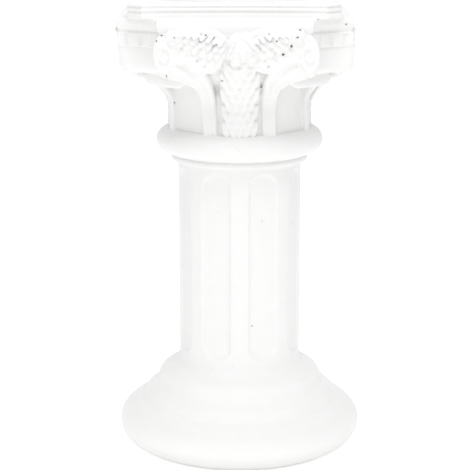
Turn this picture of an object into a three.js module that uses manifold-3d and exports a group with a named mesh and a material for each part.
// A short cast plaster column: a turned base, a fluted shaft, a collar and a carved capital
// whose four faces each carry a winged cherub's head between two scrolls.
// Millimetres, +Z up. The origin is the centre of the underside, and the front face looks along -Y.

import * as THREE from 'three';
import { mergeVertices } from 'three/addons/utils/BufferGeometryUtils.js';
import Module from 'manifold-3d';

const wasm = await Module();
wasm.setup();

// Whole column
const TOTAL_HEIGHT = 750;
const FACES = 4;
const TURNED_SIDES = 32;
const ARC_STEPS = 2;
const WELD_GAP = 1e-4;
const CUT_MARGIN = 1;

// Base: a big lower roll, a sloping band and a small upper roll
const FOOT_RADIUS = 181;
const LOWER_ROLL = { radius: 172, height: 32, out: 31, up: 32, from: -70, to: 70 };
const BAND_FOOT = { radius: 163, height: 73 };
const BAND_SWELL = { radius: 158, height: 90 };
const BAND_TOP = { radius: 138, height: 101 };
const UPPER_ROLL = { radius: 112, height: 103, out: 26, up: 26, from: -10, to: 80 };
const SHAFT_FOOT_HEIGHT = 140;

// Shaft and its flutes
const SHAFT_RADIUS = 101;
const SHAFT_TOP_HEIGHT = 478;
const FLUTES = 8;
const FLUTE_WIDTH = 51;
const FLUTE_DEPTH = 7;
const FLUTE_FOOT_HEIGHT = 156;
const FLUTE_TOP_HEIGHT = 468;
const FLUTE_END_RISE = 20;
const FLUTE_ROUNDNESS = 1.5;
const FLUTE_END_STEPS = 2;
const FLUTE_SIDES = 8;

// Collar and bell
const FILLET_RADIUS = 112;
const FILLET_TOP = { radius: 116, height: 490 };
const COLLAR = { radius: 112, height: 513, out: 25, up: 22, from: -55, to: 55 };
const BELL_FOOT = { radius: 115, height: 536 };
const BELL_WAIST = { radius: 113, height: 575 };
const BELL_TOP = { radius: 130, height: 640 };

// Abacus: a square plan with hollowed corners, carried up a moulded profile
const ABACUS_CORNER_CUT = 65;
const ABACUS_CORNER_HOLLOW = 14;
const BLOCK_HALF = 178;
const BLOCK_FOOT_HEIGHT = 632;
const BLOCK_ROUNDING = 18;
const BLOCK_ROUNDING_STEPS = 3;
const BAND_HEIGHT = 675;
const BAND_HALF = 174;
const CORNICE_HEIGHT = 697;
const CORNICE_HALF = 186;
const CORNICE_FILLET_HEIGHT = 709;
const CORNICE_TOP_HEIGHT = 719;
const COVE_HALF = 160;
const COVE_TOP_HEIGHT = 729;
const CORNER_STEPS = 4;
const CORNER_GROOVES = 3;
const CORNER_GROOVE_RADIUS = 3.5;
const CORNER_GROOVE_SIDES = 3;
const FACE_RECESS = { halfWidth: 106, back: 160 };

// Top slab with hollow sides, and the round seat on it
const SLAB_HALF = 165;
const SLAB_CORNER_CUT = 24;
const SLAB_SIDE_HOLLOW = 14;
const SLAB_TOP_HEIGHT = 742;
const SLAB_SIDE_STEPS = 6;
const SEAT_RADIUS = 140;
const SEAT_EDGE_TAPER = 2;

// The capital was cast leaning a little to its left above the collar
const LEAN_FOOT_HEIGHT = 540;
const LEAN_AT_TOP = -9;

// Corner leaves, whose tips curl out under the hollowed corners
const LEAF_SIDES = 6;
const LEAF_FOOT = { radius: 103, height: 560 };
const LEAF_RISE = { radius: 112, height: 595 };
const LEAF_CROWN = { radius: 138, height: 637 };
const LEAF_TIP = { radius: 161, height: 611 };
const LEAF_STEPS = 5;
const LEAF_HALF_WIDTH = { foot: 30, lip: 48 };
const LEAF_HALF_THICKNESS = { foot: 9, lip: 7 };
const LEAF_WRAP = 150;

// Face panel: the fan of stalks that flares from the bell to the scrolls
const PANEL_FOOT_HALF = 56;
const PANEL_FOOT_HEIGHT = 524;
const PANEL_FOOT_OUT = 104;
const PANEL_TOP_OUT = 172;
const PANEL_TOP_HEIGHT = 700;
const PANEL_BACK_OUT = 72;
const PANEL_TOP_HALF = 95;
const PANEL_BEND = { half: 76, height: 610 };
const PANEL_STEPS = 6;
const PANEL_FLARE_HEIGHT = 590;
const PANEL_SHOULDER_HEIGHT = 650;

// Stalks, the lowest first, and the scrolls that they run into
const STALK_HALF_WIDTH = 5.5;
const STALK_STAND = 8;
const STALK_VALLEY = 3;
const STALK_SINK = 14;
const STALK_FOOT_HEIGHT = 520;
const STALK_STEPS = 5;
const STALKS = [
  { foot: 53, end: 113, endHeight: 634 },
  { foot: 43, end: 104, endHeight: 646 },
  { foot: 33, end: 97, endHeight: 659 },
];
// Share of the way out, and of the rise, at the points that a stalk runs through
const STALK_PATH = [[0, 0], [0, 0.45], [0.12, 0.75], [0.45, 0.94], [1, 1]];
const SCROLL = { across: 108, height: 663, halfWidth: 20, halfHeight: 33, back: 158, out: 186 };
const SCROLL_BAND_RADIUS = 4.5;
const SCROLL_TURNS = 1.4;
const SCROLL_START_ANGLE = 135;
const SCROLL_WIND_IN = 0.75;
const SCROLL_BAND_SIDES = 3;
const SCROLL_STEPS = 8;
const SCROLL_SIDES = 10;

// Wings
const WING_ROOT = { across: 26, height: 668 };
const WING_OUT = 180;
const WING_BACK_OUT = 166;
// Widths of a feather as shares of its half width, and the share of its length where it is widest
const FEATHER = { root: 0.7, tip: 0.8, widestAt: 0.6 };
const PRIMARIES = 4;
const PRIMARY_LENGTH = { upper: 88, lower: 56 };
const PRIMARY_LIFT = { upper: 20, lower: -18 };
const PRIMARY_HALF_WIDTH = 8;
const PRIMARY_TAPER = 1.5;
const PRIMARY_ROOT_SPREAD = 6;
const PRIMARY_STAND = [3.15, 5.85];
const COVERTS = 2;
const COVERT_LENGTH = 38;
const COVERT_TUCK = 8;
const COVERT_LIFT = { upper: 38, lower: -40 };
const COVERT_HALF_WIDTH = 11.2;
const COVERT_STAND = [9.85, 11.45];

// Cherub's head and feathered breast
const HEAD = { height: 672, out: 169, halfWidth: 26, halfDepth: 25, halfHeight: 31 };
const HEAD_SIDES = 8;
const HEAD_RINGS = 6;
const HAIR_SWELL = 1.14;
const HAIR_LINE = 0.45;
const BREAST_FOOT = { height: 528, halfWidth: 22, out: 115 };
const BREAST_TOP = { height: 650, halfWidth: 34, out: 176 };
const BREAST_FLARE_HEIGHT = 570;
const BREAST_ROWS = 4;
const BREAST_STEP = 4;
const BREAST_ROW_SHARE = 0.92;
const BREAST_SIDES = 8;
const BREAST_HALF_DEPTH = 26;

const PLASTER = new THREE.MeshStandardMaterial({ color: 0xf4f3ef, roughness: 0.85, metalness: 0 });

const radians = THREE.MathUtils.degToRad;
const mix = THREE.MathUtils.lerp;

// Copy with positions alone, whose touching vertices are one
function welded(geometry) {
  const bare = geometry.clone();
  bare.deleteAttribute('normal');
  bare.deleteAttribute('uv');
  return mergeVertices(bare, WELD_GAP);
}

// Closed geometry to a solid that can be joined and cut
function solidOf(geometry) {
  const merged = welded(geometry);
  const vertProperties = new Float32Array(merged.attributes.position.array);
  const triVerts = new Uint32Array(merged.index.array);
  return new wasm.Manifold(new wasm.Mesh({ numProp: 3, vertProperties, triVerts }));
}

function geometryOf(solid) {
  const mesh = solid.getMesh();
  const geometry = new THREE.BufferGeometry();
  geometry.setAttribute('position', new THREE.BufferAttribute(mesh.vertProperties.slice(), 3));
  geometry.setIndex(new THREE.BufferAttribute(mesh.triVerts.slice(), 1));
  geometry.computeVertexNormals();
  return geometry;
}

const joined = (geometries) => geometries.map(solidOf).reduce((whole, part) => whole.add(part));

// Mirror image in the plane X = 0, with its triangles turned to face outwards again
function mirrored(geometry) {
  const copy = welded(geometry).scale(-1, 1, 1);
  const index = copy.index.array;
  for (let i = 0; i < index.length; i += 3) {
    [index[i], index[i + 1]] = [index[i + 1], index[i]];
  }
  return copy;
}

const bothSides = (geometry) => [geometry, mirrored(geometry)];

// Skin over a row of rings, each closed by a fan at the two ends
function loft(rings) {
  const count = rings[0].length;
  const points = rings.flat();
  const index = [];
  const quad = (a, b, c, d) => index.push(a, b, c, a, c, d);
  for (let ring = 0; ring < rings.length - 1; ring += 1) {
    for (let i = 0; i < count; i += 1) {
      const next = (i + 1) % count;
      const low = ring * count;
      const high = low + count;
      quad(low + i, low + next, high + next, high + i);
    }
  }
  const centre = (ring) => ring.reduce((sum, p) => sum.add(p), new THREE.Vector3()).divideScalar(count);
  const firstCentre = points.push(centre(rings[0])) - 1;
  const lastCentre = points.push(centre(rings.at(-1))) - 1;
  const lastRing = (rings.length - 1) * count;
  for (let i = 0; i < count; i += 1) {
    const next = (i + 1) % count;
    index.push(firstCentre, next, i);
    index.push(lastCentre, lastRing + i, lastRing + next);
  }
  const geometry = new THREE.BufferGeometry().setFromPoints(points);
  geometry.setIndex(index);
  return geometry;
}

// Sideways lean of the capital, which grows with height
function leaning(geometry) {
  const perHeight = LEAN_AT_TOP / (TOTAL_HEIGHT - LEAN_FOOT_HEIGHT);
  const shear = new THREE.Matrix4().makeShear(0, 0, 0, 0, perHeight, 0);
  return geometry.clone().applyMatrix4(shear).translate(-perHeight * LEAN_FOOT_HEIGHT, 0, 0);
}

// Drawing on the front face (X across, Y up) pushed outwards from a given distance
function raised(shape, out, depth, steps) {
  const settings = { depth, bevelEnabled: false, curveSegments: steps };
  return new THREE.ExtrudeGeometry(shape, settings).rotateX(Math.PI / 2).translate(0, -out, 0);
}

// Turned body, from the foot up to the bell inside the abacus
function turnedBody() {
  const path = new THREE.Path();
  const roll = ({ radius, height, out, up, from, to }) =>
    path.absellipse(radius, height, out, up, radians(from), radians(to), false, 0);
  path.moveTo(0, 0);
  path.lineTo(FOOT_RADIUS, 0);
  roll(LOWER_ROLL);
  path.lineTo(BAND_FOOT.radius, BAND_FOOT.height);
  path.quadraticCurveTo(BAND_SWELL.radius, BAND_SWELL.height, BAND_TOP.radius, BAND_TOP.height);
  roll(UPPER_ROLL);
  path.lineTo(SHAFT_RADIUS, SHAFT_FOOT_HEIGHT);
  path.lineTo(SHAFT_RADIUS, SHAFT_TOP_HEIGHT);
  path.lineTo(FILLET_RADIUS, SHAFT_TOP_HEIGHT);
  path.lineTo(FILLET_TOP.radius, FILLET_TOP.height);
  roll(COLLAR);
  path.lineTo(BELL_FOOT.radius, BELL_FOOT.height);
  path.lineTo(BELL_WAIST.radius, BELL_WAIST.height);
  path.lineTo(BELL_TOP.radius, BELL_TOP.height);
  path.lineTo(0, BELL_TOP.height);
  const halfFacet = Math.PI / TURNED_SIDES;
  return new THREE.LatheGeometry(path.getPoints(ARC_STEPS), TURNED_SIDES, halfFacet).rotateX(Math.PI / 2);
}

// Long rounded cutter for one flute; a narrow fillet stays at the middle of each face
function fluteCutter(index) {
  const halfAngle = Math.asin(FLUTE_WIDTH / 2 / SHAFT_RADIUS);
  const edgeOut = SHAFT_RADIUS * Math.cos(halfAngle);
  const halfDepth = FLUTE_DEPTH * FLUTE_ROUNDNESS;
  const centreOut = SHAFT_RADIUS - FLUTE_DEPTH + halfDepth;
  const halfWidth = FLUTE_WIDTH / 2 / Math.sqrt(1 - ((centreOut - edgeOut) / halfDepth) ** 2);
  const straight = FLUTE_TOP_HEIGHT - FLUTE_FOOT_HEIGHT - 2 * FLUTE_END_RISE;
  const cutter = new THREE.CapsuleGeometry(1, straight / FLUTE_END_RISE, FLUTE_END_STEPS, FLUTE_SIDES, 1);
  cutter.rotateX(Math.PI / 2);
  cutter.scale(halfWidth, halfDepth, FLUTE_END_RISE);
  cutter.translate(0, -centreOut, (FLUTE_TOP_HEIGHT + FLUTE_FOOT_HEIGHT) / 2);
  return cutter.rotateZ(((index + 0.5) * 2 * Math.PI) / FLUTES);
}

// Square plan with each corner cut off on a hollow curve
function hollowCornerPlan(half) {
  const straight = half - ABACUS_CORNER_CUT;
  const middle = half - ABACUS_CORNER_CUT / 2 - Math.SQRT2 * ABACUS_CORNER_HOLLOW;
  const corner = new THREE.QuadraticBezierCurve(
    new THREE.Vector2(half, straight),
    new THREE.Vector2(middle, middle),
    new THREE.Vector2(straight, half),
  );
  const quarter = corner.getPoints(CORNER_STEPS);
  const ring = [];
  for (let face = 0; face < FACES; face += 1) {
    const turn = (face * 2 * Math.PI) / FACES;
    quarter.forEach((point) => ring.push(point.clone().rotateAround(new THREE.Vector2(), turn)));
  }
  return ring;
}

function abacus() {
  const levels = [[BLOCK_FOOT_HEIGHT, BLOCK_HALF - BLOCK_ROUNDING]];
  for (let step = 1; step <= BLOCK_ROUNDING_STEPS; step += 1) {
    const angle = ((step / BLOCK_ROUNDING_STEPS) * Math.PI) / 2;
    const inset = BLOCK_ROUNDING * (1 - Math.sin(angle));
    levels.push([BLOCK_FOOT_HEIGHT + BLOCK_ROUNDING * (1 - Math.cos(angle)), BLOCK_HALF - inset]);
  }
  levels.push([BAND_HEIGHT, BLOCK_HALF], [BAND_HEIGHT, BAND_HALF]);
  levels.push([CORNICE_HEIGHT, BAND_HALF], [CORNICE_HEIGHT, BLOCK_HALF]);
  levels.push([CORNICE_FILLET_HEIGHT, CORNICE_HALF], [CORNICE_TOP_HEIGHT, CORNICE_HALF]);
  levels.push([CORNICE_TOP_HEIGHT, COVE_HALF], [COVE_TOP_HEIGHT, COVE_HALF]);
  return loft(levels.map(([height, half]) =>
    hollowCornerPlan(half).map((point) => new THREE.Vector3(point.x, point.y, height))));
}

// Upright grooves in the hollow corners of the band
function cornerGrooves(face) {
  const cutters = [];
  const height = CORNICE_HEIGHT - BAND_HEIGHT;
  const corner = hollowCornerPlan(BAND_HALF).slice(0, CORNER_STEPS + 1);
  const curve = new THREE.SplineCurve(corner);
  for (let i = 0; i < CORNER_GROOVES; i += 1) {
    const place = curve.getPoint((i + 0.5) / CORNER_GROOVES);
    const radius = CORNER_GROOVE_RADIUS;
    const cutter = new THREE.CylinderGeometry(radius, radius, height, CORNER_GROOVE_SIDES);
    cutter.rotateX(Math.PI / 2);
    cutter.translate(place.x, place.y, BAND_HEIGHT + height / 2);
    cutters.push(cutter.rotateZ((face * 2 * Math.PI) / FACES));
  }
  return cutters;
}

// Sunk field between the scrolls of a face, which the carving fills
function faceRecess(face) {
  const { halfWidth, back } = FACE_RECESS;
  const height = CORNICE_HEIGHT - BLOCK_FOOT_HEIGHT;
  const cutter = new THREE.BoxGeometry(2 * halfWidth, CORNICE_HALF - back, 2 * height);
  cutter.translate(0, -(CORNICE_HALF + back) / 2, BLOCK_FOOT_HEIGHT);
  return cutter.rotateZ((face * 2 * Math.PI) / FACES);
}

// Top slab with hollow sides and cut corners, and the low round seat
function topSlab() {
  const shape = new THREE.Shape();
  const straight = SLAB_HALF - SLAB_CORNER_CUT;
  const hollow = SLAB_HALF - 2 * SLAB_SIDE_HOLLOW;
  shape.moveTo(SLAB_HALF, straight);
  shape.lineTo(straight, SLAB_HALF);
  shape.quadraticCurveTo(0, hollow, -straight, SLAB_HALF);
  shape.lineTo(-SLAB_HALF, straight);
  shape.quadraticCurveTo(-hollow, 0, -SLAB_HALF, -straight);
  shape.lineTo(-straight, -SLAB_HALF);
  shape.quadraticCurveTo(0, -hollow, straight, -SLAB_HALF);
  shape.lineTo(SLAB_HALF, -straight);
  shape.quadraticCurveTo(hollow, 0, SLAB_HALF, straight);
  const foot = COVE_TOP_HEIGHT - CUT_MARGIN;
  const settings = { depth: SLAB_TOP_HEIGHT - foot, bevelEnabled: false, curveSegments: SLAB_SIDE_STEPS };
  return new THREE.ExtrudeGeometry(shape, settings).translate(0, 0, foot);
}

function roundSeat() {
  const height = TOTAL_HEIGHT - COVE_TOP_HEIGHT;
  const seat = new THREE.CylinderGeometry(SEAT_RADIUS - SEAT_EDGE_TAPER, SEAT_RADIUS, height, TURNED_SIDES);
  return seat.rotateX(Math.PI / 2).translate(0, 0, TOTAL_HEIGHT - height / 2);
}

// Broad plain leaf on a diagonal: it rises off the bell and curls over
function cornerLeaf(face) {
  const point = ({ radius, height }) => new THREE.Vector3(0, -radius, height);
  const spine = new THREE.CatmullRomCurve3([LEAF_FOOT, LEAF_RISE, LEAF_CROWN, LEAF_TIP].map(point));
  const rings = [];
  for (let step = 0; step <= LEAF_STEPS; step += 1) {
    const along = step / LEAF_STEPS;
    const middle = spine.getPoint(along);
    const tangent = spine.getTangent(along);
    const normal = new THREE.Vector3(0, -tangent.z, tangent.y);
    const halfWidth = mix(LEAF_HALF_WIDTH.foot, LEAF_HALF_WIDTH.lip, along);
    const halfThickness = mix(LEAF_HALF_THICKNESS.foot, LEAF_HALF_THICKNESS.lip, along);
    const ring = [];
    for (let i = 0; i < LEAF_SIDES; i += 1) {
      const angle = (-i * 2 * Math.PI) / LEAF_SIDES;
      const across = halfWidth * Math.cos(angle);
      const lift = halfThickness * Math.sin(angle) - across ** 2 / (2 * LEAF_WRAP);
      ring.push(middle.clone().addScaledVector(normal, lift).setX(across));
    }
    rings.push(ring);
  }
  return loft(rings).rotateZ(((face + 0.5) * 2 * Math.PI) / FACES);
}

// How far the face panel stands out at a height
function panelOut(height) {
  const rise = THREE.MathUtils.smoothstep(height, PANEL_FLARE_HEIGHT, PANEL_SHOULDER_HEIGHT);
  return mix(PANEL_FOOT_OUT, PANEL_TOP_OUT, rise);
}

// Point of the front drawing set on the panel, lifted off it by a given height
function onPanel(point, lift) {
  return new THREE.Vector3(point.x, -panelOut(point.y) - lift, point.y);
}

// Fan-shaped panel between the two arches of a face, cut to the flare of the bell
function facePanel() {
  const archTop = STALKS[0].endHeight;
  const fan = new THREE.Shape();
  fan.moveTo(-PANEL_FOOT_HALF, PANEL_FOOT_HEIGHT);
  fan.lineTo(PANEL_FOOT_HALF, PANEL_FOOT_HEIGHT);
  fan.bezierCurveTo(PANEL_FOOT_HALF, PANEL_BEND.height, PANEL_BEND.half, archTop, PANEL_TOP_HALF, archTop);
  fan.lineTo(PANEL_TOP_HALF, PANEL_TOP_HEIGHT);
  fan.lineTo(-PANEL_TOP_HALF, PANEL_TOP_HEIGHT);
  fan.lineTo(-PANEL_TOP_HALF, archTop);
  fan.bezierCurveTo(-PANEL_BEND.half, archTop, -PANEL_FOOT_HALF, PANEL_BEND.height,
    -PANEL_FOOT_HALF, PANEL_FOOT_HEIGHT);
  const block = raised(fan, PANEL_BACK_OUT, SCROLL.out - PANEL_BACK_OUT, PANEL_STEPS);

  const flare = new THREE.Shape();
  flare.moveTo(0, PANEL_FOOT_HEIGHT - CUT_MARGIN);
  flare.lineTo(PANEL_FOOT_OUT, PANEL_FOOT_HEIGHT - CUT_MARGIN);
  for (let step = 0; step <= PANEL_STEPS; step += 1) {
    const height = mix(PANEL_FLARE_HEIGHT, PANEL_SHOULDER_HEIGHT, step / PANEL_STEPS);
    flare.lineTo(panelOut(height), height);
  }
  flare.lineTo(PANEL_TOP_OUT, PANEL_TOP_HEIGHT + CUT_MARGIN);
  flare.lineTo(0, PANEL_TOP_HEIGHT + CUT_MARGIN);
  const width = 2 * (PANEL_TOP_HALF + CUT_MARGIN);
  const envelope = new THREE.ExtrudeGeometry(flare, { depth: width, bevelEnabled: false });
  envelope.translate(0, 0, -width / 2).rotateX(Math.PI / 2).rotateZ(-Math.PI / 2);
  return solidOf(block).intersect(solidOf(envelope));
}

function roundSection(radius, sides) {
  const shape = new THREE.Shape();
  for (let i = 0; i < sides; i += 1) {
    const angle = (i * 2 * Math.PI) / sides;
    const draw = i === 0 ? 'moveTo' : 'lineTo';
    shape[draw](radius * Math.cos(angle), radius * Math.sin(angle));
  }
  return shape;
}

function rod(curve, radius, sides, steps) {
  const settings = { extrudePath: curve, steps, bevelEnabled: false };
  return new THREE.ExtrudeGeometry(roundSection(radius, sides), settings);
}

// Line of one stalk on the panel, climbing from its foot and bending out to the scroll
function stalkLine({ foot, end, endHeight }) {
  return new THREE.SplineCurve(STALK_PATH.map(([outwards, rise]) =>
    new THREE.Vector2(mix(foot, end, outwards), mix(STALK_FOOT_HEIGHT, endHeight, rise))));
}

// Bundle of stalks as one ridged ribbon, with its back sunk in the panel
function stalkBundle() {
  const lines = STALKS.map(stalkLine);
  const rings = [];
  for (let step = 0; step <= STALK_STEPS; step += 1) {
    const along = step / STALK_STEPS;
    const section = [];
    lines.forEach((line) => {
      const crest = line.getPoint(along);
      const tangent = line.getTangent(along);
      const side = new THREE.Vector2(tangent.y, -tangent.x).multiplyScalar(STALK_HALF_WIDTH);
      section.push([crest.clone().add(side), STALK_VALLEY], [crest, STALK_STAND]);
    });
    const last = section.at(-1)[0].clone().multiplyScalar(2).sub(section.at(-2)[0]);
    section.push([last, STALK_VALLEY], [last, -STALK_SINK], [section[0][0], -STALK_SINK]);
    rings.push(section.map(([point, lift]) => onPanel(point, lift)).reverse());
  }
  return loft(rings);
}

// Tall scroll at the end of a face, with a band that winds in on it
function scrollDrum() {
  const depth = SCROLL.out - SCROLL.back - SCROLL_BAND_RADIUS;
  const drum = new THREE.CylinderGeometry(1, 1, depth, SCROLL_SIDES);
  drum.scale(SCROLL.halfWidth, 1, SCROLL.halfHeight);
  return drum.translate(SCROLL.across, -SCROLL.back - depth / 2, SCROLL.height);
}

function scrollBand() {
  const points = [];
  for (let step = 0; step <= SCROLL_STEPS; step += 1) {
    const along = step / SCROLL_STEPS;
    const angle = radians(SCROLL_START_ANGLE - 360 * SCROLL_TURNS * along);
    const reach = 1 - SCROLL_WIND_IN * along;
    const across = SCROLL.across + (SCROLL.halfWidth - SCROLL_BAND_RADIUS) * reach * Math.cos(angle);
    const height = SCROLL.height + (SCROLL.halfHeight - SCROLL_BAND_RADIUS) * reach * Math.sin(angle);
    points.push(new THREE.Vector3(across, -SCROLL.out + SCROLL_BAND_RADIUS, height));
  }
  return rod(new THREE.CatmullRomCurve3(points), SCROLL_BAND_RADIUS, SCROLL_BAND_SIDES, SCROLL_STEPS);
}

// Pointed feather drawn from its root along an angle, standing off the wing's back
function feather(across, height, angle, length, halfWidth, stand) {
  const widest = length * FEATHER.widestAt;
  const shape = new THREE.Shape();
  shape.moveTo(0, -halfWidth * FEATHER.root);
  shape.lineTo(widest, -halfWidth);
  shape.quadraticCurveTo(length, -halfWidth * FEATHER.tip, length, 0);
  shape.quadraticCurveTo(length, halfWidth * FEATHER.tip, widest, halfWidth);
  shape.lineTo(0, halfWidth * FEATHER.root);
  const settings = { depth: WING_OUT - WING_BACK_OUT + stand, bevelEnabled: false, curveSegments: 1 };
  const blade = new THREE.ExtrudeGeometry(shape, settings);
  blade.rotateZ(angle).translate(across, height, 0);
  return blade.rotateX(Math.PI / 2).translate(0, -WING_BACK_OUT, 0);
}

// Long primaries fanned from the shoulder, and short coverts over their roots
function wing() {
  const feathers = [];
  for (let i = 0; i < PRIMARIES; i += 1) {
    const along = i / (PRIMARIES - 1);
    const length = mix(PRIMARY_LENGTH.upper, PRIMARY_LENGTH.lower, along ** PRIMARY_TAPER);
    const angle = radians(mix(PRIMARY_LIFT.upper, PRIMARY_LIFT.lower, along));
    const root = WING_ROOT.height + mix(PRIMARY_ROOT_SPREAD, -PRIMARY_ROOT_SPREAD, along);
    feathers.push(feather(WING_ROOT.across, root, angle, length, PRIMARY_HALF_WIDTH, PRIMARY_STAND[i % 2]));
  }
  for (let i = 0; i < COVERTS; i += 1) {
    const angle = radians(mix(COVERT_LIFT.upper, COVERT_LIFT.lower, i / (COVERTS - 1)));
    feathers.push(feather(WING_ROOT.across - COVERT_TUCK, WING_ROOT.height, angle, COVERT_LENGTH,
      COVERT_HALF_WIDTH, COVERT_STAND[i % 2]));
  }
  return feathers;
}

// Head with a swollen cap of hair above and behind the hair line
function cherubHead() {
  const head = welded(new THREE.SphereGeometry(1, HEAD_SIDES, HEAD_RINGS).rotateX(Math.PI / 2));
  const place = head.attributes.position;
  for (let i = 0; i < place.count; i += 1) {
    const point = new THREE.Vector3().fromBufferAttribute(place, i);
    const hair = point.z > HAIR_LINE || point.y > 0;
    place.setXYZ(i, ...point.multiplyScalar(hair ? HAIR_SWELL : 1));
  }
  head.scale(HEAD.halfWidth, HEAD.halfDepth, HEAD.halfHeight);
  return head.translate(0, -HEAD.out, HEAD.height);
}

// Tapered breast below the head, stepped in overlapping rows of feathers
function featheredBreast() {
  const rings = [];
  const ring = (along, swell) => {
    const height = mix(BREAST_FOOT.height, BREAST_TOP.height, along);
    const rise = THREE.MathUtils.smoothstep(height, BREAST_FLARE_HEIGHT, BREAST_TOP.height);
    const out = mix(BREAST_FOOT.out, BREAST_TOP.out, rise) + swell - BREAST_HALF_DEPTH;
    const halfWidth = mix(BREAST_FOOT.halfWidth, BREAST_TOP.halfWidth, along) + swell / 2;
    const points = [];
    for (let i = 0; i < BREAST_SIDES; i += 1) {
      const angle = (i * 2 * Math.PI) / BREAST_SIDES;
      points.push(new THREE.Vector3(halfWidth * Math.cos(angle),
        -out + BREAST_HALF_DEPTH * Math.sin(angle), height));
    }
    rings.push(points);
  };
  for (let row = 0; row < BREAST_ROWS; row += 1) {
    ring(row / BREAST_ROWS, BREAST_STEP);
    ring((row + BREAST_ROW_SHARE) / BREAST_ROWS, 0);
  }
  return loft(rings);
}

// Everything carved on one face, built at the front and turned to its place
function faceCarving(face) {
  const turned = (geometry) => geometry.rotateZ((face * 2 * Math.PI) / FACES);
  const carved = [
    geometryOf(facePanel()),
    ...bothSides(stalkBundle()),
    ...bothSides(scrollDrum()),
    ...bothSides(scrollBand()),
    ...wing().flatMap(bothSides),
  ];
  const figure = [cherubHead(), featheredBreast()];
  return [...carved.map((piece) => leaning(turned(piece))), ...figure.map(turned)];
}

function column() {
  const flutes = Array.from({ length: FLUTES }, (unused, index) => fluteCutter(index));
  const faces = Array.from({ length: FACES }, (unused, face) => face);
  const cuts = [...faces.flatMap(cornerGrooves), ...faces.map(faceRecess)].map(leaning);
  const crown = [topSlab(), roundSeat(), ...faces.map(cornerLeaf)].map(leaning);
  let solid = solidOf(turnedBody()).subtract(joined(flutes));
  solid = solid.add(solidOf(leaning(abacus())).subtract(joined(cuts)));
  solid = solid.add(joined(crown));
  for (const face of faces) {
    solid = solid.add(joined(faceCarving(face)));
  }
  const mesh = new THREE.Mesh(geometryOf(solid), PLASTER);
  mesh.name = 'column';
  return mesh;
}

const group = new THREE.Group();
group.add(column());

export default group;
